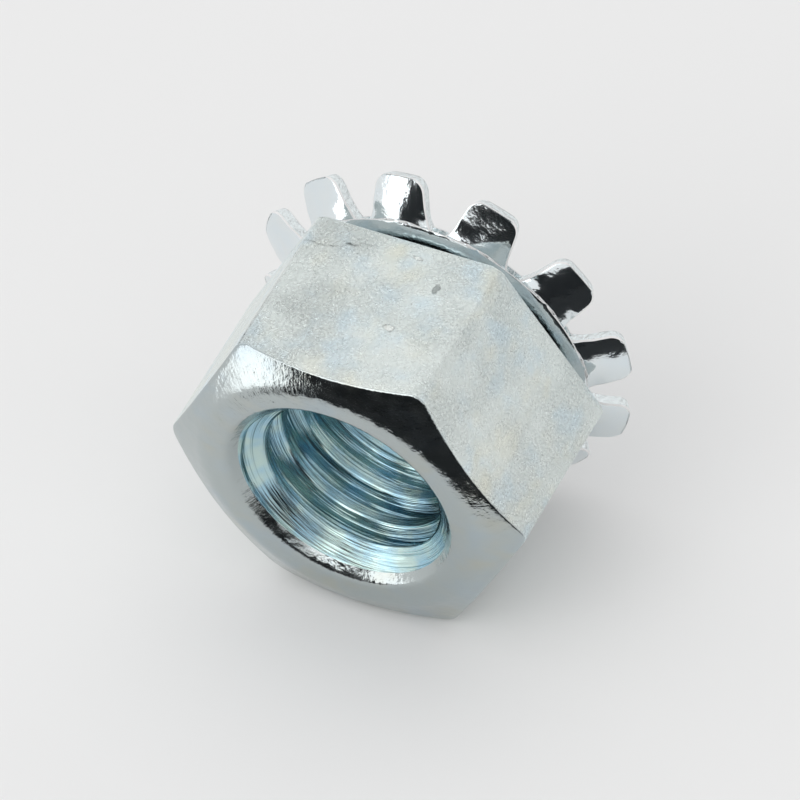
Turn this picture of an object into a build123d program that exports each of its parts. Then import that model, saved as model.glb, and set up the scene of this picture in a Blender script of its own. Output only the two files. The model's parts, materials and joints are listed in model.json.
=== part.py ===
from build123d import *
from math import atan2, cos, degrees, radians, sin, tan
import os

# A coarse-thread hex nut with a captive toothed lock washer that spins on a flared collar.
# Each piece is built about the thread axis: the open chamfered face looks along +Z, the
# washer side is the plane Z = 0, and the flat that the nut lies on looks along -Y.
# Everything is in millimetres and degrees.

# Hex body
across_flats = 14.29
body_height = 8.5
corner_round = 0.45
face_setback = 0.845
face_chamfer_angle = 25.5
face_round = 1.6
washer_face_overhang = 0.705
washer_chamfer_angle = 30.0

# Threaded bore: the wall stands at the thread's crests, and both mouths clear its roots
thread_diameter = 9.525
thread_depth = 0.7875
front_mouth_margin = 0.4375
front_mouth_round = 0.5
collar_mouth_margin = 0.1375

# Collar on the washer side, flared over the washer after it is slipped on
collar_wall = 0.6875
flare_width = 0.6
flare_thickness = 0.35
flare_underside_drop = 0.25
flare_edge_round = 0.15

# Toothed washer, pressed from one sheet: a flat ring, a rim bent back, and the teeth on it
sheet_thickness = 0.6
washer_bore_clearance = 0.25
washer_front_float = 0.45
washer_back_float = 0.15
ring_flat_width = 0.7
ring_rim_width = 0.5
bend_round = 0.6
tooth_length = 1.55
tooth_set_angle = 27.0
tooth_count = 12
tooth_root_width = 3.3
tooth_neck_width = 2.5
tooth_tip_width = 2.2
tooth_neck_reach = 0.45
tooth_root_overlap = 0.15
tooth_twist = 20.0
tooth_tip_round = 0.5
tooth_tip_fillet = 0.4
tooth_coining = 0.03
tooth_phase = 8.8

# Room left around the hexagon's corners by the turned outline, and slack for picking by size
turning_room = 1.0
pick_slack = 0.001

# Sizes that follow from those above
apothem = across_flats / 2
corner_reach = apothem / cos(radians(30)) + turning_room
face_radius = apothem - face_setback
washer_face_radius = apothem + washer_face_overhang
bore_diameter = thread_diameter - 2 * thread_depth
front_mouth_diameter = thread_diameter + 2 * front_mouth_margin
collar_mouth_diameter = thread_diameter + 2 * collar_mouth_margin
collar_diameter = thread_diameter + 2 * collar_wall
flare_diameter = collar_diameter + 2 * flare_width
ring_bore_diameter = collar_diameter + 2 * washer_bore_clearance
bend_diameter = ring_bore_diameter + 2 * ring_flat_width
root_radius = bend_diameter / 2 + ring_rim_width
tip_radius = root_radius + tooth_length
ring_front = -washer_front_float
ring_back = ring_front - sheet_thickness
flare_start = ring_back - washer_back_float
collar_end = flare_start - flare_underside_drop - flare_thickness
ring_middle = (ring_front + ring_back) / 2
set_slope = tan(radians(tooth_set_angle))


def sheet_middle(radius):
    """Height of the middle of the washer's sheet where it is set back, at a radius."""
    return ring_middle - (radius - bend_diameter / 2) * set_slope


def drop_from(start_radius, end_radius, angle):
    """Fall of a turned chamfer between two radii."""
    return (end_radius - start_radius) * tan(radians(angle))


# Hex nut: a hexagonal bar, turned at both ends, with the collar, the flare and the bore
with BuildPart() as hex_nut:
    with BuildSketch():
        RegularPolygon(apothem, 6, major_radius=False)
        fillet(vertices(), corner_round)
    extrude(amount=body_height)

    # The turned outline rounds the open face off into its chamfer and trims the rear corners
    front_fall = drop_from(face_radius, corner_reach, face_chamfer_angle)
    rear_rise = drop_from(washer_face_radius, corner_reach, washer_chamfer_angle)
    with BuildSketch(Plane.XZ):
        with BuildLine():
            Polyline(
                (0, 0),
                (washer_face_radius, 0),
                (corner_reach, rear_rise),
                (corner_reach, body_height - front_fall),
                (face_radius, body_height),
                (0, body_height),
                close=True,
            )
        make_face()
        face_corner = vertices().filter_by(lambda v: abs(v.X - face_radius) < pick_slack)
        fillet(face_corner, face_round)
    revolve(axis=Axis.Z, mode=Mode.INTERSECT)

    # Collar with the lip that is flared outwards behind the washer
    with BuildSketch(Plane.XZ):
        with BuildLine():
            Polyline(
                (0, body_height / 2),
                (collar_diameter / 2, body_height / 2),
                (collar_diameter / 2, flare_start),
                (flare_diameter / 2, flare_start - flare_underside_drop),
                (flare_diameter / 2, collar_end),
                (0, collar_end),
                close=True,
            )
        make_face()
        lip = vertices().filter_by(lambda v: abs(v.X - flare_diameter / 2) < pick_slack)
        fillet(lip, flare_edge_round)
    revolve(axis=Axis.Z)

    Hole(bore_diameter / 2)
    bore_rims = edges().filter_by(GeomType.CIRCLE).filter_by(
        lambda e: abs(e.radius - bore_diameter / 2) < pick_slack
    ).sort_by(Axis.Z)
    chamfer(bore_rims[-1], (front_mouth_diameter - bore_diameter) / 2)
    chamfer(bore_rims[0], (collar_mouth_diameter - bore_diameter) / 2)
    front_rim = edges().filter_by(GeomType.CIRCLE).filter_by(
        lambda e: abs(e.radius - front_mouth_diameter / 2) < pick_slack
    ).sort_by(Axis.Z)[-1]
    fillet(front_rim, front_mouth_round)


def tooth_plane(radius, twist):
    """Plane across a tooth at a radius, square to the set-back sheet and turned by the twist."""
    outward = Vector(cos(radians(tooth_set_angle)), 0, -sin(radians(tooth_set_angle)))
    across = Vector(0, 1, 0).rotate(Axis((0, 0, 0), outward), -twist)
    return Plane((radius, 0, sheet_middle(radius)), x_dir=across, z_dir=outward)


# One tooth of the washer: flared at its root, set back and twisted towards its tip
neck_radius = root_radius + tooth_neck_reach
waist_radius = (neck_radius + tip_radius) / 2
with BuildPart() as tooth:
    for radius, width in (
        (root_radius - tooth_root_overlap, tooth_root_width),
        (root_radius + tooth_root_overlap, (tooth_root_width + tooth_neck_width) / 2),
        (neck_radius, tooth_neck_width),
        (waist_radius, (tooth_neck_width + tooth_tip_width) / 2),
        (tip_radius, tooth_tip_width),
    ):
        turned = tooth_twist * max(0, radius - root_radius) / tooth_length
        with BuildSketch(tooth_plane(radius, turned)):
            Rectangle(width, sheet_thickness - tooth_coining)
    loft()

    # The punch rounds the two corners of the tip: the outline widens inwards, clear of the sides
    tip_end = tooth_plane(tip_radius, tooth_twist)
    punched = Plane(tip_end.origin, x_dir=tip_end.z_dir, z_dir=tip_end.z_dir.cross(tip_end.x_dir))
    half_tip = tooth_tip_width / 2
    with BuildSketch(punched):
        with BuildLine():
            Polyline(
                (0, -half_tip),
                (0, half_tip),
                (-tooth_tip_round, half_tip + tooth_coining),
                (-2 * tooth_length, 2 * tooth_root_width),
                (-2 * tooth_length, -2 * tooth_root_width),
                (-tooth_tip_round, -half_tip - tooth_coining),
                close=True,
            )
        make_face()
        fillet(vertices().group_by(Axis.X)[-1], tooth_tip_fillet)
    extrude(amount=tooth_root_width, both=True, mode=Mode.INTERSECT)


# Toothed washer: a flat ring whose rim is bent back, with the teeth around it
with BuildPart() as tooth_washer:
    with BuildSketch(Plane.XZ):
        with BuildLine():
            FilletPolyline(
                (ring_bore_diameter / 2, ring_middle),
                (bend_diameter / 2, ring_middle),
                (root_radius, sheet_middle(root_radius)),
                radius=bend_round,
            )
        trace(line_width=sheet_thickness)
    revolve(axis=Axis.Z)
    with PolarLocations(0, tooth_count, start_angle=tooth_phase):
        add(tooth.part)


# The nut lies on the front edge of its lower flat and on the washer's teeth: the tilt is that
# of the line from the chamfer's edge on the flat to the tip of a tooth
flat_front = body_height - drop_from(face_radius, apothem, face_chamfer_angle)
tooth_tip_front = sheet_middle(tip_radius) + sheet_thickness / 2
lying_tilt = degrees(atan2(tip_radius - apothem, flat_front - tooth_tip_front))
laid_down = Location((0, 0, 0), (90 + lying_tilt, 0, 0))
laid_nut = hex_nut.part.moved(laid_down)
laid_washer = tooth_washer.part.moved(laid_down)

# The origin is on the floor, under the middle of the whole part
extent = laid_nut.bounding_box().add(laid_washer.bounding_box())
on_floor = Location((-extent.center().X, -extent.center().Y, -extent.min.Z))

os.makedirs("parts", exist_ok=True)
for name, piece in (("hex_nut", laid_nut), ("tooth_washer", laid_washer)):
    placed = piece.moved(on_floor)
    placed.label = name
    export_step(placed, f"parts/{name}.step")
print("tilt", round(lying_tilt, 4), "axis moved by", on_floor.position)
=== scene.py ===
import json
import math

import bmesh
import bpy
import numpy as np
from mathutils import Matrix, Vector


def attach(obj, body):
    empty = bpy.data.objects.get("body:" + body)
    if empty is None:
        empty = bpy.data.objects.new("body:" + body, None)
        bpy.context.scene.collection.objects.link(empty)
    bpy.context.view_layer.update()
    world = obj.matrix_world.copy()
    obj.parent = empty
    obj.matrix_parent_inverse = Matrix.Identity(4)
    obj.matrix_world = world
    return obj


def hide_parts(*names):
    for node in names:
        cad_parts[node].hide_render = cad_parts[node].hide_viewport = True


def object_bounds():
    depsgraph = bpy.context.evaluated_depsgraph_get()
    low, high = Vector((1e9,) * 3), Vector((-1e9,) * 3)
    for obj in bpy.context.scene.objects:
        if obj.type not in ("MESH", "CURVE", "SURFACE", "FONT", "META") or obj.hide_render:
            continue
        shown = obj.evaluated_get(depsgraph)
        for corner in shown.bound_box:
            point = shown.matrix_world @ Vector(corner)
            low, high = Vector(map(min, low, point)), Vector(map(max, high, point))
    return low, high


# A hex nut with a captive toothed lock washer. The two pieces are shaped in the nut's own frame,
# in millimetres: the thread axis is Z, the open face looks along +Z, the washer side of the
# hexagon is the plane Z = 0 and the flat that the nut lies on looks along -Y. Each finished
# mesh is then laid down into the model's frame, in metres.

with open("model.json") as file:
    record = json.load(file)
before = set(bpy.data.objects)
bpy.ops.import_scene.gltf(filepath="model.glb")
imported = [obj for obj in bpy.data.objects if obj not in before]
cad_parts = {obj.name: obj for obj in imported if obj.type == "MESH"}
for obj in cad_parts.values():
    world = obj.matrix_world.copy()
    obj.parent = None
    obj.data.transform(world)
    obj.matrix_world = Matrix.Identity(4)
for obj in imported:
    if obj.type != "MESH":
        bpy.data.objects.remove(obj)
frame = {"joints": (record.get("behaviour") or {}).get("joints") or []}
cad_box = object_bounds()
low_corner, high_corner = (Vector(corner) for corner in cad_box)
part_centre = (low_corner + high_corner) / 2

MM = 0.001

# Hexagon
APOTHEM = 14.29 / 2
BODY_HEIGHT = 8.5
FRONT_CORNER_ROUND = 1.0
REAR_CORNER_ROUND = 0.15
FACE_RADIUS = 6.3
FACE_CHAMFER = math.radians(25.5)
FACE_ROUND = 1.6
FLAT_EDGE_ROUND = 0.15
REAR_FACE_RADIUS = 7.85
REAR_CHAMFER = math.radians(30)
REAR_EDGE = 0.25
REAR_ROUND = 0.12
COLUMNS_PER_HALF_FLAT = 32
CORNER_CROWDING = 1.4
NUT_MERGE = 0.0008

# Thread, 3/8-16 UNC, right-handed
PITCH = 25.4 / 16
CREST_RADIUS = 7.95 / 2
ROOT_RADIUS = 9.525 / 2
FLANK_ANGLE = math.radians(30)
ROOT_FLAT = PITCH / 8
FLANK_EASE = 0.035
ROWS_PER_PITCH = 20

# Mouths of the bore: 45 degree cones that run out into the thread
FACE_MOUTH_RADIUS = 5.2
FACE_MOUTH_ROUND = 0.5
REAR_MOUTH_RADIUS = 4.9
REAR_MOUTH_ROUND = 0.12
CONE_JOIN_RADIUS = 4.8

# Collar and its flare, behind the washer
COLLAR_RADIUS = 10.9 / 2
COLLAR_ROUND = 0.12
FLARE_RADIUS = 12.1 / 2
FLARE_START = -1.2
FLARE_UNDERSIDE_DROP = 0.25
COLLAR_END = -1.8
FLARE_ROUND = 0.13

# Washer, pressed from one sheet
SHEET = 0.6
RING_BORE_RADIUS = 11.4 / 2
RING_MIDDLE = -0.75
BEND_RADIUS = 6.4
BEND_SPREAD = 0.22
VALLEY_RADIUS = 6.9
NECK_RADIUS = 7.35
CONE_END_RADIUS = NECK_RADIUS + 0.3
TIP_RADIUS = 8.5
NECK_HALF_WIDTH = 1.25
TIP_HALF_WIDTH = 1.1
TIP_ROUND = 0.42
TOOTH_COUNT = 12
HALF_SECTOR = math.pi / TOOTH_COUNT
TOOTH_SET = math.radians(33)
TOOTH_CROWN = math.radians(12)
TOOTH_TWIST = math.radians(5)
TOOTH_PHASE = math.radians(8.8)
TOOTH_COLUMNS = 17
TOOTH_VARIATION = 0.12
VARIATION_SCALE = 0.22
VARIATION_SEED = 3.0
EDGE_ROLL = 0.07
SHARP_EDGE = math.radians(50)
WASHER_MERGE = 0.001

# The nut's own frame, found from the washer's joint, whose place is the middle of the ring
spin_joint = frame["joints"][0]
thread_axis = Vector(spin_joint["axis"]).normalized()
nut_origin = Vector(spin_joint["pos_m"]) - thread_axis * RING_MIDDLE * MM
sideways = Vector((1, 0, 0))
turned_frame = Matrix((sideways, thread_axis.cross(sideways), thread_axis)).transposed()
laid_down = Matrix.Translation(nut_origin) @ turned_frame.to_4x4() @ Matrix.Scale(MM, 4)


# ---------------------------------------------------------------- helpers


def grid_quads(rows, columns):
    """Quads of a grid of vertices that is stored row by row."""
    index = np.arange(rows * columns).reshape(rows, columns)
    quads = (index[:-1, :-1], index[1:, :-1], index[1:, 1:], index[:-1, 1:])
    return np.stack(quads, axis=-1).reshape(-1, 4)


def smooth_step(value, low, high):
    """0 below low, 1 above high, and an S-curve between them."""
    share = np.clip((value - low) / (high - low), 0, 1)
    return share * share * (3 - 2 * share)


def finish_mesh(mesh, merge_distance, edge_roll=0.0):
    """Merges doubles, turns the faces outwards, rolls sharp edges and lays the mesh down."""
    work = bmesh.new()
    work.from_mesh(mesh)
    bmesh.ops.remove_doubles(work, verts=work.verts, dist=merge_distance)
    bmesh.ops.recalc_face_normals(work, faces=work.faces)
    if edge_roll:
        rims = [edge for edge in work.edges if edge.calc_face_angle(0) > SHARP_EDGE]
        bmesh.ops.bevel(work, geom=rims, offset=edge_roll, segments=3, profile=0.5, affect="EDGES")
    work.to_mesh(mesh)
    work.free()
    mesh.transform(laid_down)
    mesh.shade_smooth()


def new_object(name, data):
    """Puts a mesh, a lamp or a camera into the scene."""
    piece = bpy.data.objects.new(name, data)
    bpy.context.scene.collection.objects.link(piece)
    return piece


def math_node(tree, operation, *values):
    """Adds a Math node to a tree. Its values are numbers or sockets."""
    node = tree.nodes.new("ShaderNodeMath")
    node.operation = operation
    for socket, value in zip(node.inputs, values):
        if isinstance(value, (int, float)):
            socket.default_value = value
        else:
            tree.links.new(value, socket)
    return node.outputs[0]


# ---------------------------------------------------------------- nut


def hexagon_radius(angle, rounding):
    """Distance from the axis to the hexagon with rounded corners, in the given directions."""
    sixth = math.radians(60)
    off_corner = np.abs((angle + sixth / 2) % sixth - sixth / 2)
    flat = APOTHEM / np.cos(sixth / 2 - off_corner)
    centre = (APOTHEM - rounding) / math.cos(sixth / 2)
    arc_end = np.arctan2(rounding / 2, centre + rounding * math.cos(sixth / 2))
    inside = np.clip(rounding**2 - (centre * np.sin(off_corner)) ** 2, 0, None)
    arc = centre * np.cos(off_corner) + np.sqrt(inside)
    return np.where(off_corner < arc_end, arc, flat)


def corner_round(height):
    """Rounding of the hexagon's corners, which are less filled towards the open face."""
    share = np.clip(height / BODY_HEIGHT, 0, 1)
    return REAR_CORNER_ROUND + (FRONT_CORNER_ROUND - REAR_CORNER_ROUND) * share**2


def column_angles():
    """Directions of the mesh columns, closer together at the hexagon's corners."""
    share = (np.arange(COLUMNS_PER_HALF_FLAT) / COLUMNS_PER_HALF_FLAT) ** CORNER_CROWDING
    sixth = np.concatenate([share, [1], 2 - share[1:][::-1]]) * math.radians(30)
    turns = [sixth + math.radians(60) * corner for corner in range(6)]
    return np.concatenate(turns + [[math.radians(360)]])


def arc_between(corner, before, after, radius, count):
    """Points of the arc that rounds a corner, for every column at once."""
    back = before - corner
    onward = after - corner
    back /= np.linalg.norm(back, axis=-1, keepdims=True)
    onward /= np.linalg.norm(onward, axis=-1, keepdims=True)
    opening = np.arccos(np.clip((back * onward).sum(-1, keepdims=True), -1, 1))
    reach = radius / np.tan(opening / 2)
    middle = back + onward
    middle /= np.linalg.norm(middle, axis=-1, keepdims=True)
    centre = corner + middle * radius / np.sin(opening / 2)
    start = corner + back * reach - centre
    end = corner + onward * reach - centre
    turn = math.pi - opening
    points = []
    for share in np.linspace(0, 1, count + 1):
        blend = np.sin((1 - share) * turn) * start + np.sin(share * turn) * end
        points.append(centre + blend / np.sin(turn))
    return points


def rounded_outline(corners, roundings, splits, width):
    """Rows of points along an outline of (radius, height) corners, for a width of columns.

    roundings holds a radius and a count of steps for each inner corner, and splits the
    number of pieces of each straight run. The second value says where each run starts.
    """
    columns = [
        np.stack([np.broadcast_to(value, width) for value in corner], axis=-1) for corner in corners
    ]
    rows = [columns[0]]
    run_starts = []
    for k in range(1, len(columns)):
        if k < len(columns) - 1:
            arc = arc_between(columns[k], columns[k - 1], columns[k + 1], *roundings[k - 1])
        else:
            arc = [columns[k]]
        run_starts.append(len(rows) - 1)
        start = rows[-1]
        for step in range(1, splits[k - 1]):
            rows.append(start + (arc[0] - start) * step / splits[k - 1])
        rows.extend(arc)
    return np.array(rows), run_starts


def nut_skin(angles):
    """Outside of the nut, from the front mouth over the hexagon to the rear mouth."""
    # The chamfer's edge lies where the corners' rounding at its own height puts it
    edge = hexagon_radius(angles, corner_round(np.full_like(angles, BODY_HEIGHT)))
    for _ in range(3):
        edge_height = BODY_HEIGHT - (edge - FACE_RADIUS) * math.tan(FACE_CHAMFER)
        edge = hexagon_radius(angles, corner_round(edge_height))
    rear_edge = hexagon_radius(angles, corner_round(np.zeros_like(angles)))
    rear_face = np.minimum(REAR_FACE_RADIUS, rear_edge - REAR_EDGE)
    rear_height = (rear_edge - rear_face) * math.tan(REAR_CHAMFER)
    flare_underside = FLARE_START - FLARE_UNDERSIDE_DROP
    corners = [
        (CONE_JOIN_RADIUS, BODY_HEIGHT - (FACE_MOUTH_RADIUS - CONE_JOIN_RADIUS)),
        (FACE_MOUTH_RADIUS, BODY_HEIGHT),
        (FACE_RADIUS, BODY_HEIGHT),
        (edge, edge_height),
        (rear_edge, rear_height),
        (rear_face, 0.0),
        (COLLAR_RADIUS, 0.0),
        (COLLAR_RADIUS, FLARE_START),
        (FLARE_RADIUS, flare_underside),
        (FLARE_RADIUS, COLLAR_END),
        (REAR_MOUTH_RADIUS, COLLAR_END),
        (CONE_JOIN_RADIUS, COLLAR_END + REAR_MOUTH_RADIUS - CONE_JOIN_RADIUS),
    ]
    roundings = [
        (FACE_MOUTH_ROUND, 6),
        (FACE_ROUND, 10),
        (FLAT_EDGE_ROUND, 3),
        (REAR_ROUND, 3),
        (REAR_ROUND, 2),
        (COLLAR_ROUND, 2),
        (COLLAR_ROUND, 2),
        (FLARE_ROUND, 3),
        (FLARE_ROUND, 3),
        (REAR_MOUTH_ROUND, 2),
    ]
    splits = [2, 4, 5, 34, 1, 3, 2, 2, 1, 2, 1]
    outline, run_starts = rounded_outline(corners, roundings, splits, len(angles))
    radius = outline[..., 0]
    height = outline[..., 1]
    points = np.stack([radius * np.cos(angles), radius * np.sin(angles), height], axis=-1)
    return points, run_starts


def thread_profile(share):
    """Radius of the internal thread across one pitch, with the crest's middle at 0."""
    depth = ROOT_RADIUS - CREST_RADIUS
    flank = depth * math.tan(FLANK_ANGLE)
    from_root = np.abs(share - 0.5) * PITCH
    rise = np.clip((from_root - ROOT_FLAT / 2) / flank, 0, 1)
    softened = rise + FLANK_EASE * np.sin(2 * math.pi * rise)
    return ROOT_RADIUS - depth * softened


def nut_bore(angles):
    """Threaded wall of the bore, whose rows follow the helix from mouth to mouth."""
    front = BODY_HEIGHT - (FACE_MOUTH_RADIUS - CONE_JOIN_RADIUS)
    rear = COLLAR_END + REAR_MOUTH_RADIUS - CONE_JOIN_RADIUS
    step = PITCH / ROWS_PER_PITCH
    row_count = math.ceil((front - rear + PITCH) / step) + 2
    row = np.arange(row_count)
    start = (rear - PITCH) + row * step
    lead = PITCH * angles / math.radians(360)
    height = np.clip(start[:, None] + lead[None, :], rear, front)
    thread = thread_profile((row % ROWS_PER_PITCH) / ROWS_PER_PITCH)[:, None]
    front_cone = CONE_JOIN_RADIUS - (front - height)
    rear_cone = CONE_JOIN_RADIUS - (height - rear)
    radius = np.maximum(thread, np.maximum(front_cone, rear_cone))
    points = np.stack([radius * np.cos(angles), radius * np.sin(angles), height], axis=-1)
    return points, row


def thread_map(row, angles):
    """Map of the bore's quads: length along the helix, and place across the pitch, in mm."""
    turn = row[:-1] // ROWS_PER_PITCH
    low = (row[:-1] % ROWS_PER_PITCH) * PITCH / ROWS_PER_PITCH
    high = low + PITCH / ROWS_PER_PITCH
    along = (angles[None, :] + math.radians(360) * turn[:, None]) * CREST_RADIUS
    shape = (len(turn), len(angles) - 1)
    low = np.broadcast_to(low[:, None], shape)
    high = np.broadcast_to(high[:, None], shape)
    corners = [
        np.stack([along[:, :-1], low], -1),
        np.stack([along[:, :-1], high], -1),
        np.stack([along[:, 1:], high], -1),
        np.stack([along[:, 1:], low], -1),
    ]
    return np.stack(corners, axis=2).reshape(-1, 2)


def build_nut(turned, flats, bore):
    """The nut as one closed mesh with its thread, and the materials of its regions."""
    angles = column_angles()
    skin, run_starts = nut_skin(angles)
    wall, row = nut_bore(angles)
    skin_quads = grid_quads(*skin.shape[:2])
    wall_quads = grid_quads(*wall.shape[:2]) + skin.shape[0] * skin.shape[1]
    mesh = bpy.data.meshes.new("nut_body")
    vertices = np.concatenate([skin.reshape(-1, 3), wall.reshape(-1, 3)])
    quads = np.concatenate([skin_quads, wall_quads])
    mesh.from_pydata(vertices.tolist(), [], quads.tolist())

    turned_index, flats_index, bore_index = range(3)
    flats_run = 3
    skin_row = np.repeat(np.arange(skin.shape[0] - 1), skin.shape[1] - 1)
    on_flats = (skin_row >= run_starts[flats_run] - 1) & (skin_row < run_starts[flats_run + 1])
    skin_region = np.where(on_flats, flats_index, turned_index)
    region = np.concatenate([skin_region, np.full(len(wall_quads), bore_index)])
    mesh.polygons.foreach_set("material_index", region.astype(np.int32))
    helix = mesh.uv_layers.new(name="helix")
    unmapped = np.zeros((len(skin_quads) * 4, 2))
    spots = np.concatenate([unmapped, thread_map(row, angles)]).astype(np.float32)
    helix.data.foreach_set("uv", spots.ravel())
    finish_mesh(mesh, NUT_MERGE)
    for material in (turned, flats, bore):
        mesh.materials.append(material)
    return new_object("nut_body", mesh)


# ---------------------------------------------------------------- washer


def tooth_half_width(radius):
    """Half the width of the sheet in a sector at a radius: the U of the gap, then the tooth."""
    sector = HALF_SECTOR * radius
    drift = (NECK_HALF_WIDTH - TIP_HALF_WIDTH) / (TIP_RADIUS - NECK_RADIUS) + HALF_SECTOR
    depth = NECK_RADIUS - VALLEY_RADIUS
    neck_gap = HALF_SECTOR * NECK_RADIUS - NECK_HALF_WIDTH
    bulge = neck_gap - drift * depth
    up = np.clip((NECK_RADIUS - radius) / depth, 0, 1)
    gap = bulge * np.sqrt(1 - up**2) + drift * (radius - VALLEY_RADIUS)
    past = np.clip(radius - (TIP_RADIUS - TIP_ROUND), 0, TIP_ROUND)
    trimmed = TIP_ROUND - np.sqrt(TIP_ROUND**2 - past**2)
    return np.where(radius > VALLEY_RADIUS, sector - gap - trimmed, sector)


def sheet_height(radius):
    """Middle of the sheet: flat under the nut, then bent back."""
    past = radius - BEND_RADIUS
    bending = (np.clip(past, -BEND_SPREAD, BEND_SPREAD) + BEND_SPREAD) ** 2 / (4 * BEND_SPREAD)
    return RING_MIDDLE - np.where(past > BEND_SPREAD, past, bending) * math.tan(TOOTH_SET)


def sheet_slope(radius):
    """Angle of the sheet at a radius."""
    step = 0.01
    rise = (sheet_height(radius + step) - sheet_height(radius - step)) / (2 * step)
    return np.arctan(-rise)


def tooth_surfaces():
    """Front and rear surfaces of one sector of the washer: rows outwards, columns across."""
    ring = np.linspace(RING_BORE_RADIUS, VALLEY_RADIUS, 9)
    gap_turn = np.linspace(0, math.pi / 2, 10)[1:]
    gap = VALLEY_RADIUS + (NECK_RADIUS - VALLEY_RADIUS) * (1 - np.cos(gap_turn))
    side = np.linspace(NECK_RADIUS, TIP_RADIUS - TIP_ROUND, 9)[1:]
    tip_turn = np.linspace(0, math.pi / 2, 9)[1:]
    tip = TIP_RADIUS - TIP_ROUND + TIP_ROUND * np.sin(tip_turn)
    radius = np.concatenate([ring, gap, side, tip])[:, None]
    across = np.linspace(-1, 1, TOOTH_COLUMNS)[None, :]
    angle = across * tooth_half_width(radius) / radius
    x = radius * np.cos(angle)
    y = radius * np.sin(angle)

    # The ring and the roots follow a cone around the axis, and a tooth is flat farther out
    conical = 1 - smooth_step(radius, VALLEY_RADIUS, CONE_END_RADIUS)
    lean = angle * conical
    slope = sheet_slope(radius)
    normal = [np.sin(slope) * np.cos(lean), np.sin(slope) * np.sin(lean), np.cos(slope) + 0 * lean]
    normal = np.stack(normal, axis=-1)
    side_step = np.stack([-np.sin(lean), np.cos(lean), 0 * lean], axis=-1)
    depth_radius = conical * radius + (1 - conical) * x
    middle = np.stack([x, 0 * y, sheet_height(depth_radius)], axis=-1)

    # Each tooth twists about its own length, from the ring to the tip
    outwards = np.clip((radius - VALLEY_RADIUS) / (TIP_RADIUS - VALLEY_RADIUS), 0, 1)
    twist = (TOOTH_TWIST * outwards)[..., None]
    turned_side = side_step * np.cos(twist) - normal * np.sin(twist)
    turned_normal = normal * np.cos(twist) + side_step * np.sin(twist)
    straight = np.array([0.0, 1.0, 0.0])
    middle = middle + y[..., None] * np.where(twist > 0, turned_side, straight)

    # Each tooth is crowned across its width, so its normals fan out towards its sides
    fan = smooth_step(radius, VALLEY_RADIUS, NECK_RADIUS) * TOOTH_CROWN * y / NECK_HALF_WIDTH
    middle = middle - turned_normal * (fan * y / 2)[..., None]
    fan = fan[..., None]
    turned_normal = turned_normal * np.cos(fan) + turned_side * np.sin(fan)
    front = middle + turned_normal * SHEET / 2
    rear = middle - turned_normal * SHEET / 2
    return front, rear, len(ring) - 1


def wall_between(front_line, rear_line):
    """Sheared wall between an edge of the front surface and the same edge of the rear."""
    points = np.concatenate([front_line, (front_line + rear_line) / 2, rear_line])
    return points, grid_quads(3, len(front_line))


def build_sector():
    """One twelfth of the washer, centred on +X: a ring segment with its tooth."""
    front, rear, valley = tooth_surfaces()
    grid = grid_quads(*front.shape[:2])
    walls = [
        wall_between(front[0], rear[0]),
        wall_between(front[-1], rear[-1]),
        wall_between(front[valley:, 0], rear[valley:, 0]),
        wall_between(front[valley:, -1], rear[valley:, -1]),
    ]
    blocks = [(front.reshape(-1, 3), grid, 0), (rear.reshape(-1, 3), grid, 0)]
    blocks += [(points, faces, 1) for points, faces in walls]
    vertices = []
    quads = []
    sheared = []
    first = 0
    for points, faces, is_wall in blocks:
        vertices.append(points)
        quads.append(faces + first)
        sheared.append(np.full(len(faces), is_wall, np.int32))
        first += len(points)
    mesh = bpy.data.meshes.new("washer_sector")
    mesh.from_pydata(np.concatenate(vertices).tolist(), [], np.concatenate(quads).tolist())
    wall = mesh.attributes.new("sheared", "INT", "FACE")
    wall.data.foreach_set("value", np.concatenate(sheared))
    return new_object("washer_sector", mesh)


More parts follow.
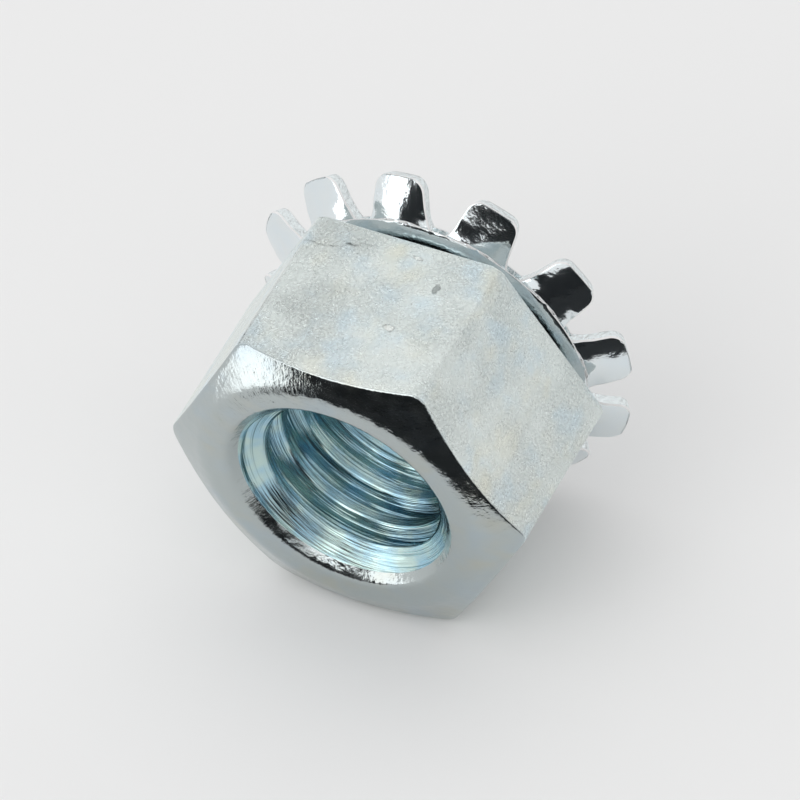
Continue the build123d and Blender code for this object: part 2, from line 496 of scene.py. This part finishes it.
def washer_tree():
    """Tree that repeats the sector around the thread axis and joins the copies."""
    tree = bpy.data.node_groups.new("teeth_around_ring", "GeometryNodeTree")
    for name, kind in (
        ("Geometry", "NodeSocketGeometry"),
        ("Sector", "NodeSocketObject"),
        ("Teeth", "NodeSocketInt"),
        ("Phase", "NodeSocketFloat"),
        ("Tooth variation", "NodeSocketFloat"),
        ("Sheet finish", "NodeSocketMaterial"),
        ("Sheared finish", "NodeSocketMaterial"),
    ):
        tree.interface.new_socket(name, in_out="INPUT", socket_type=kind)
    tree.interface.new_socket("Geometry", in_out="OUTPUT", socket_type="NodeSocketGeometry")
    nodes = tree.nodes
    link = tree.links.new
    given = nodes.new("NodeGroupInput").outputs

    places = nodes.new("GeometryNodePoints")
    link(given["Teeth"], places.inputs["Count"])
    sector = nodes.new("GeometryNodeObjectInfo")
    link(given["Sector"], sector.inputs["Object"])
    index = nodes.new("GeometryNodeInputIndex").outputs[0]
    share = math_node(tree, "DIVIDE", math.radians(360), given["Teeth"])
    turn = math_node(tree, "MULTIPLY_ADD", index, share, given["Phase"])
    rotation = nodes.new("FunctionNodeAxisAngleToRotation")
    link(turn, rotation.inputs["Angle"])

    copies = nodes.new("GeometryNodeInstanceOnPoints")
    link(places.outputs[0], copies.inputs["Points"])
    link(sector.outputs["Geometry"], copies.inputs["Instance"])
    link(rotation.outputs[0], copies.inputs["Rotation"])
    whole = nodes.new("GeometryNodeRealizeInstances")
    link(copies.outputs[0], whole.inputs[0])
    merged = nodes.new("GeometryNodeMergeByDistance")
    merged.inputs["Distance"].default_value = WASHER_MERGE
    link(whole.outputs[0], merged.inputs["Geometry"])

    # Small differences between the teeth, growing from the ring to the tips
    spot = nodes.new("GeometryNodeInputPosition").outputs[0]
    reach = nodes.new("ShaderNodeVectorMath")
    reach.operation = "LENGTH"
    link(spot, reach.inputs[0])
    grow = nodes.new("ShaderNodeMapRange")
    grow.inputs["From Min"].default_value = VALLEY_RADIUS
    grow.inputs["From Max"].default_value = TIP_RADIUS
    link(reach.outputs["Value"], grow.inputs["Value"])
    wave = nodes.new("ShaderNodeTexNoise")
    wave.noise_dimensions = "4D"
    wave.inputs["W"].default_value = VARIATION_SEED
    wave.inputs["Scale"].default_value = VARIATION_SCALE
    wave.inputs["Detail"].default_value = 0.0
    link(spot, wave.inputs["Vector"])
    centred = math_node(tree, "SUBTRACT", wave.outputs[0], 0.5)
    sized = math_node(tree, "MULTIPLY", centred, given["Tooth variation"])
    shift = nodes.new("ShaderNodeCombineXYZ")
    link(math_node(tree, "MULTIPLY", sized, grow.outputs[0]), shift.inputs["Z"])
    moved = nodes.new("GeometryNodeSetPosition")
    link(merged.outputs[0], moved.inputs["Geometry"])
    link(shift.outputs[0], moved.inputs["Offset"])

    # One material for the sheet's surfaces, and another for the punched walls
    sheet = nodes.new("GeometryNodeSetMaterial")
    link(moved.outputs[0], sheet.inputs["Geometry"])
    link(given["Sheet finish"], sheet.inputs["Material"])
    wall = nodes.new("GeometryNodeInputNamedAttribute")
    wall.data_type = "INT"
    wall.inputs["Name"].default_value = "sheared"
    is_wall = nodes.new("FunctionNodeCompare")
    is_wall.data_type = "INT"
    is_wall.operation = "GREATER_THAN"
    first_number = [socket for socket in is_wall.inputs if socket.type == "INT"][0]
    link(wall.outputs["Attribute"], first_number)
    edges = nodes.new("GeometryNodeSetMaterial")
    link(sheet.outputs[0], edges.inputs["Geometry"])
    link(is_wall.outputs[0], edges.inputs["Selection"])
    link(given["Sheared finish"], edges.inputs["Material"])
    link(edges.outputs[0], nodes.new("NodeGroupOutput").inputs[0])
    return tree


def build_washer(sheet_finish, sheared_finish):
    """The washer: its sector repeated by Geometry Nodes, then the rims rounded."""
    sector = build_sector()
    carrier = new_object("washer_carrier", bpy.data.meshes.new("washer_carrier"))
    repeat = carrier.modifiers.new("teeth", "NODES")
    repeat.node_group = washer_tree()
    values = {
        "Sector": sector,
        "Teeth": TOOTH_COUNT,
        "Phase": TOOTH_PHASE,
        "Tooth variation": TOOTH_VARIATION,
        "Sheet finish": sheet_finish,
        "Sheared finish": sheared_finish,
    }
    for item in repeat.node_group.interface.items_tree:
        if item.in_out == "INPUT" and item.name in values:
            repeat[item.identifier] = values[item.name]
    bpy.context.view_layer.update()
    evaluated = carrier.evaluated_get(bpy.context.evaluated_depsgraph_get())
    mesh = bpy.data.meshes.new_from_object(evaluated)
    mesh.name = "toothed_ring"
    bpy.data.objects.remove(carrier)
    bpy.data.objects.remove(sector)
    finish_mesh(mesh, WASHER_MERGE, EDGE_ROLL)
    return new_object("toothed_ring", mesh)


# ---------------------------------------------------------------- materials


class Finish:
    """A metal material whose patterns are laid out in millimetres in the nut's own frame.

    Its first colour and roughness are what a viewer without the patterns shows.
    """

    def __init__(self, name, color, roughness):
        self.material = bpy.data.materials.new(name)
        self.material.use_nodes = True
        self.tree = self.material.node_tree
        self.nodes = self.tree.nodes
        self.shader = self.nodes["Principled BSDF"]
        self.shader.inputs["Base Color"].default_value = (*color, 1)
        self.shader.inputs["Roughness"].default_value = roughness
        self.shader.inputs["Metallic"].default_value = 1.0
        place = self.nodes.new("ShaderNodeMapping")
        place.vector_type = "TEXTURE"
        place.inputs["Location"].default_value = nut_origin
        place.inputs["Rotation"].default_value = turned_frame.to_euler()
        place.inputs["Scale"].default_value = (MM, MM, MM)
        self.link(self.nodes.new("ShaderNodeTexCoord").outputs["Object"], place.inputs["Vector"])
        self.place = place.outputs["Vector"]

    def link(self, source, target):
        self.tree.links.new(source, target)

    def math(self, operation, *values):
        return math_node(self.tree, operation, *values)

    def split_place(self):
        """The place's x, y and z."""
        node = self.nodes.new("ShaderNodeSeparateXYZ")
        self.link(self.place, node.inputs[0])
        return node.outputs

    def around_axis(self):
        """Unit vector from the thread axis to the place."""
        level = self.nodes.new("ShaderNodeVectorMath")
        level.operation = "MULTIPLY"
        level.inputs[1].default_value = (1, 1, 0)
        self.link(self.place, level.inputs[0])
        unit = self.nodes.new("ShaderNodeVectorMath")
        unit.operation = "NORMALIZE"
        self.link(level.outputs[0], unit.inputs[0])
        return unit.outputs[0]

    def noise(self, size, detail=2.0, roughness=0.5, distortion=0.0, vector=None, stretch=(1, 1, 1)):
        """Noise whose features are about size millimetres across."""
        squeeze = self.nodes.new("ShaderNodeMapping")
        squeeze.inputs["Scale"].default_value = stretch
        self.link(vector or self.place, squeeze.inputs["Vector"])
        node = self.nodes.new("ShaderNodeTexNoise")
        node.inputs["Scale"].default_value = 1 / size
        node.inputs["Detail"].default_value = detail
        node.inputs["Roughness"].default_value = roughness
        node.inputs["Distortion"].default_value = distortion
        self.link(squeeze.outputs[0], node.inputs["Vector"])
        return node.outputs[0]

    def spread(self, value, low, high, to_low=0.0, to_high=1.0):
        """Maps a range of a value onto another, smoothly and within its ends."""
        node = self.nodes.new("ShaderNodeMapRange")
        node.interpolation_type = "SMOOTHSTEP"
        node.inputs["From Min"].default_value = low
        node.inputs["From Max"].default_value = high
        node.inputs["To Min"].default_value = to_low
        node.inputs["To Max"].default_value = to_high
        self.link(value, node.inputs["Value"])
        return node.outputs[0]

    def blend(self, share, first, second):
        """Mixes two colours, each a socket or three numbers."""
        node = self.nodes.new("ShaderNodeMix")
        node.data_type = "RGBA"
        colors = [socket for socket in node.inputs if socket.type == "RGBA"]
        self.link(share, node.inputs[0])
        for socket, color in zip(colors, (first, second)):
            if isinstance(color, tuple):
                socket.default_value = (*color, 1)
            else:
                self.link(color, socket)
        return [socket for socket in node.outputs if socket.type == "RGBA"][0]

    def bump(self, height, depth_mm):
        """Adds relief on top of what the finish has."""
        node = self.nodes.new("ShaderNodeBump")
        node.inputs["Strength"].default_value = 1.0
        node.inputs["Distance"].default_value = depth_mm * MM
        self.link(height, node.inputs["Height"])
        below = self.shader.inputs["Normal"]
        if below.is_linked:
            self.link(below.links[0].from_socket, node.inputs["Normal"])
        self.link(node.outputs[0], below)

    def color(self, socket):
        self.link(socket, self.shader.inputs["Base Color"])

    def roughness(self, socket):
        self.link(socket, self.shader.inputs["Roughness"])


def zinc_tints(finish, plain, blue, olive):
    """Faint interference colours of bright zinc plate, in clouds."""
    bluish = finish.blend(finish.spread(finish.noise(1.5), 0.45, 0.75), plain, blue)
    cloud = finish.spread(finish.noise(1.9, stretch=(1, 1.3, 0.8)), 0.5, 0.8)
    return finish.blend(cloud, bluish, olive)


# Small marks on the upper flat, in the nut's own millimetres: x and z of the middle, the half
# sizes along x and z, the relief, the colour and how strong it is. The colours are painted
# light: painted shade in the sunken dents and a painted highlight on the raised specks
# Painted shade that darkens the sunken dents
DENT_TINT = (0.12, 0.14, 0.14)
# Painted highlight that brightens the raised specks
SPECK_TINT = (0.95, 0.97, 0.93)
FLAT_MARKS = (
    (2.17, 2.12, 0.15, 0.26, -0.08, DENT_TINT, 0.5),
    (1.3, 4.73, 0.26, 0.17, 0.16, SPECK_TINT, 0.5),
    (-2.21, 1.17, 0.24, 0.05, -0.06, DENT_TINT, 0.8),
    (0.75, 0.85, 0.2, 0.08, 0.14, SPECK_TINT, 0.5),
)


def oval_mask(finish, across, along, x, z, half_x, half_z):
    """1 inside an oval on the upper flat, and 0 outside it."""
    off_x = finish.math("DIVIDE", finish.math("SUBTRACT", across, x), half_x)
    off_z = finish.math("DIVIDE", finish.math("SUBTRACT", along, z), half_z)
    reach = finish.math("ADD", finish.math("POWER", off_x, 2), finish.math("POWER", off_z, 2))
    return finish.spread(reach, 0.5, 1.3, 1.0, 0.0)


def flats_finish():
    """Formed flats: a fine pickled grain that sparkles, in patches, and the upper flat's marks, with
    painted shade in their dents and painted highlights on their specks.
    """
    finish = Finish("zinc_flats", (0.7, 0.76, 0.755), 0.3)
    color = zinc_tints(finish, (0.76, 0.82, 0.8), (0.7, 0.81, 0.85), (0.81, 0.83, 0.74))
    side, height, depth = finish.split_place()
    ragged = finish.math("SUBTRACT", finish.noise(0.25, detail=2), 0.5)
    ragged = finish.math("MULTIPLY", ragged, 0.25)
    across = finish.math("ADD", side, ragged)
    along = finish.math("ADD", depth, ragged)
    on_top = finish.spread(height, APOTHEM - 0.3, APOTHEM - 0.1)

    patches = finish.spread(finish.noise(2.2, detail=1), 0.35, 0.65, 0.55, 1.2)
    coarse = finish.spread(finish.math("MULTIPLY", side, on_top), -3.0, 0.0, 2.0, 1.0)
    grain = finish.noise(0.12, detail=3, roughness=0.6, distortion=0.8)
    grain = finish.math("MULTIPLY", finish.math("MULTIPLY", grain, patches), coarse)
    finish.bump(grain, 0.11)
    finish.bump(finish.noise(1.1, detail=2), 0.05)

    # Forming crease across a corner of the upper flat, next to the washer
    fold = finish.spread(across, -3.3, -1.2, 1.6, 0.85)
    past_fold = finish.spread(finish.math("SUBTRACT", along, fold), -0.05, 0.05)
    fading = finish.math("MULTIPLY", finish.spread(across, -1.8, -1.0, 1.0, 0.0), on_top)
    finish.bump(finish.math("MULTIPLY", past_fold, fading), 0.16)

    # Each mark gets its relief, and its colour is painted shade in a dent and a painted highlight on
    # a speck
    for *oval, relief, tint, strength in FLAT_MARKS:
        mask = finish.math("MULTIPLY", oval_mask(finish, across, along, *oval), on_top)
        finish.bump(mask, relief)
        color = finish.blend(finish.math("MULTIPLY", mask, strength), color, tint)
    finish.color(color)
    finish.roughness(finish.spread(finish.noise(0.4), 0.3, 0.7, 0.2, 0.34))
    return finish.material


def turned_finish():
    """Chamfer, open face and collar: smoother, with faint mottling and radial press lines, and a
    colour darker than the flats' as painted shade.
    """
    # Painted shade: the plain colour and the tints are darker than the flats', for the dim floor
    # that the open face mirrors
    finish = Finish("zinc_turned", (0.62, 0.665, 0.665), 0.16)
    finish.color(zinc_tints(finish, (0.475, 0.52, 0.52), (0.455, 0.52, 0.55), (0.5, 0.52, 0.48)))
    finish.bump(finish.noise(0.45, detail=3, roughness=0.6), 0.035)

    # The press lines are deep on one side of the chamfer and fade towards the other
    lines = finish.noise(0.012, detail=2, roughness=0.6, vector=finish.around_axis())
    pressed = finish.spread(finish.split_place()["X"], -1.5, 2.0, 1.0, 0.12)
    finish.bump(finish.math("MULTIPLY", lines, pressed), 0.008)
    finish.roughness(finish.spread(finish.noise(0.6), 0.3, 0.7, 0.1, 0.2))
    return finish.material


def bore_finish():
    """Cut thread: fine tool lines along the helix, under a thicker blue passivation, with dark lines
    along the helix painted in as painted shade.
    """
    finish = Finish("zinc_thread", (0.62, 0.76, 0.8), 0.14)
    uv_map = finish.nodes.new("ShaderNodeUVMap")
    uv_map.uv_map = "helix"
    helix = uv_map.outputs[0]
    finish.bump(finish.noise(0.16, detail=1, vector=helix, stretch=(0.02, 1, 1)), 0.03)
    lines = finish.noise(0.05, detail=2, roughness=0.6, vector=helix, stretch=(0.01, 1, 1))
    finish.bump(lines, 0.035)
    clouds = finish.spread(finish.noise(1.2), 0.35, 0.65)
    color = finish.blend(clouds, (0.4, 0.62, 0.74), (0.56, 0.72, 0.69))
    # Painted shade: dark lines along the helix in the colour, which darken the thread and its mouth
    # cones
    scored = finish.noise(0.09, detail=1, vector=helix, stretch=(0.012, 1, 1))
    finish.color(finish.blend(finish.spread(scored, 0.56, 0.68), color, (0.16, 0.27, 0.3)))
    return finish.material


def sheet_finish():
    """Washer sheet: smooth, bright and slightly blue."""
    finish = Finish("zinc_sheet", (0.8, 0.85, 0.88), 0.1)
    finish.color(finish.blend(finish.noise(1.0), (0.76, 0.84, 0.89), (0.82, 0.85, 0.84)))
    finish.bump(finish.noise(0.5, detail=3), 0.02)
    return finish.material


def sheared_finish():
    """Punched edges of the washer: short bright striations across the sheet."""
    finish = Finish("zinc_sheared_edge", (0.84, 0.9, 0.91), 0.22)
    finish.bump(finish.noise(0.15, detail=3, stretch=(1, 1, 0.3)), 0.2)
    return finish.material


# ---------------------------------------------------------------- studio

FLOOR_REACH = 2.0
FLOOR_COLOR = (0.85, 0.85, 0.85)

# Cards on the floor, which only reflections show, for painted dark reflections and painted
# highlights in the metal: where they begin and end, how high they stand in which directions
CARD_LIFT = 0.0001
CARD_FAR = 0.06
CARD_STEPS = 40
BLACK_CARD_NEAR = 0.0185
BLACK_CARD_EDGE = ((-31, 0.034), (-8, 0.032), (4, 0.023), (64, 0.018))
# Painted dark reflection: the black card is seen only in the metal
BLACK_CARD_COLOR = (0.012, 0.014, 0.016)
WHITE_CARD_NEAR = 0.03
WHITE_CARD_EDGE = ((-50, 0.045), (-31, 0.045))
# Glow of the white card, which is no lamp and shows only in reflections: painted highlights
WHITE_CARD_GLOW = 1.9

# Surroundings, with a dim patch
WORLD_LEVEL = 0.94
SHOWN_COLOR = (0.83, 0.83, 0.83)
DIM_LEVEL = 0.45
DIM_AZIMUTH = 128
DIM_ELEVATION = 37
DIM_RADIUS = 28

# Camera
VIEW_AZIMUTH = 28.41
VIEW_ELEVATION = 41.82
VIEW_ROLL = -2.87
VIEW_DISTANCE = 0.33383
VIEW_LENS = 360
VIEW_SENSOR = 36
VIEW_CLIP_START = 0.01
AIM_OFFSET = Vector((-0.0005, 0.00126, -0.00157))


def direction(azimuth, elevation):
    """Unit vector from the part, in degrees; azimuth 0 is towards -Y and 90 towards +X."""
    turn = math.radians(azimuth)
    rise = math.radians(elevation)
    level = math.cos(rise)
    return Vector((math.sin(turn) * level, -math.cos(turn) * level, math.sin(rise)))


def studio_material(name, color):
    """Plain matt material."""
    material = bpy.data.materials.new(name)
    material.use_nodes = True
    shader = material.node_tree.nodes["Principled BSDF"]
    shader.inputs["Base Color"].default_value = (*color, 1)
    shader.inputs["Roughness"].default_value = 0.9
    shader.inputs["Specular IOR Level"].default_value = 0.2
    return material


def glow_material(name, strength):
    """Evenly glowing surface."""
    material = bpy.data.materials.new(name)
    material.use_nodes = True
    shader = material.node_tree.nodes["Principled BSDF"]
    shader.inputs["Base Color"].default_value = (0, 0, 0, 1)
    shader.inputs["Emission Color"].default_value = (1, 1, 1, 1)
    shader.inputs["Emission Strength"].default_value = strength
    return material


def build_floor():
    """Pale floor under the part."""
    mesh = bpy.data.meshes.new("floor")
    corners = ((-1, -1), (1, -1), (1, 1), (-1, 1))
    points = [(x * FLOOR_REACH, y * FLOOR_REACH, 0) for x, y in corners]
    mesh.from_pydata(points, [], [(0, 1, 2, 3)])
    mesh.materials.append(studio_material("floor_paper", FLOOR_COLOR))
    new_object("floor", mesh)


def build_card(name, near, upper_edge, material):
    """Card on the floor in front of the part, bent up at its far edge; only reflections show it.

    upper_edge holds directions, in degrees, and the card's height there.
    """
    directions, heights = np.array(upper_edge).T
    turns = np.linspace(directions[0], directions[-1], CARD_STEPS)
    top = np.interp(turns, directions, heights)
    rows = []
    for distance, height in ((near, CARD_LIFT), (CARD_FAR, CARD_LIFT), (CARD_FAR, top)):
        x = distance * np.sin(np.radians(turns))
        y = -distance * np.cos(np.radians(turns))
        rows.append(np.stack([x, y, np.zeros(CARD_STEPS) + height], -1))
    mesh = bpy.data.meshes.new(name)
    mesh.from_pydata(np.concatenate(rows).tolist(), [], grid_quads(3, CARD_STEPS).tolist())
    mesh.materials.append(material)
    card = new_object(name, mesh)
    card.visible_camera = False
    card.visible_diffuse = False
    card.visible_shadow = False


def build_world():
    """Even white surroundings with a dim patch, and plain white to the camera."""
    world = bpy.data.worlds.new("surroundings")
    bpy.context.scene.world = world
    world.use_nodes = True
    nodes = world.node_tree.nodes
    link = world.node_tree.links.new
    light = nodes["Background"]
    light.inputs["Color"].default_value = (1, 1, 1, 1)

    # The dim patch is beyond the part, where the edge between the two upper flats mirrors it
    aim = nodes.new("ShaderNodeVectorMath")
    aim.operation = "DOT_PRODUCT"
    link(nodes.new("ShaderNodeTexCoord").outputs["Generated"], aim.inputs[0])
    aim.inputs[1].default_value = direction(DIM_AZIMUTH, DIM_ELEVATION)
    level = nodes.new("ShaderNodeMapRange")
    level.interpolation_type = "SMOOTHSTEP"
    level.inputs["From Min"].default_value = math.cos(math.radians(DIM_RADIUS))
    level.inputs["From Max"].default_value = math.cos(math.radians(DIM_RADIUS / 2))
    level.inputs["To Min"].default_value = WORLD_LEVEL
    level.inputs["To Max"].default_value = DIM_LEVEL
    link(aim.outputs["Value"], level.inputs["Value"])
    link(level.outputs[0], light.inputs["Strength"])

    shown = nodes.new("ShaderNodeBackground")
    shown.inputs["Color"].default_value = (*SHOWN_COLOR, 1)
    path = nodes.new("ShaderNodeLightPath")
    mix = nodes.new("ShaderNodeMixShader")
    link(path.outputs["Is Camera Ray"], mix.inputs["Fac"])
    link(light.outputs[0], mix.inputs[1])
    link(shown.outputs[0], mix.inputs[2])
    link(mix.outputs[0], nodes["World Output"].inputs["Surface"])


def soft_light(name, azimuth, elevation, distance, size, power):
    """Square area lamp that looks at the part."""
    lamp = bpy.data.lights.new(name, "AREA")
    lamp.shape = "SQUARE"
    lamp.size = size
    lamp.energy = power
    holder = new_object(name, lamp)
    back = direction(azimuth, elevation)
    holder.location = part_centre + back * distance
    holder.rotation_euler = back.to_track_quat("Z", "Y").to_euler()


def build_camera():
    """Long lens from above, turned a little about its own axis."""
    data = bpy.data.cameras.new("view")
    data.lens = VIEW_LENS
    data.sensor_width = VIEW_SENSOR
    data.clip_start = VIEW_CLIP_START
    camera = new_object("view", data)
    back = direction(VIEW_AZIMUTH, VIEW_ELEVATION)
    level = Vector((0, 0, 1)).cross(back).normalized()
    upright = back.cross(level)
    roll = math.radians(VIEW_ROLL)
    right = level * math.cos(roll) + upright * math.sin(roll)
    up = upright * math.cos(roll) - level * math.sin(roll)
    turned = Matrix((right, up, back)).transposed().to_4x4()
    target = part_centre + AIM_OFFSET
    camera.matrix_world = Matrix.Translation(target + back * VIEW_DISTANCE) @ turned
    bpy.context.scene.camera = camera


# ---------------------------------------------------------------- the part and its setting

nut = build_nut(turned_finish(), flats_finish(), bore_finish())
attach(nut, "nut")
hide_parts("hex_nut")

washer = build_washer(sheet_finish(), sheared_finish())
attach(washer, "washer")
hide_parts("tooth_washer")

build_floor()
# Black card seen only in reflections: painted dark reflections in the metal
black_paper = studio_material("card_black", BLACK_CARD_COLOR)
build_card("black_card", BLACK_CARD_NEAR, BLACK_CARD_EDGE, black_paper)
# Glowing white card seen only in reflections: painted highlights on the chamfer and the teeth
white_glow = glow_material("card_white", WHITE_CARD_GLOW)
build_card("white_card", WHITE_CARD_NEAR, WHITE_CARD_EDGE, white_glow)
build_world()
build_camera()
soft_light("key_front", azimuth=-12, elevation=38, distance=0.5, size=0.34, power=0.42)
bpy.context.scene.view_settings.view_transform = "Standard"
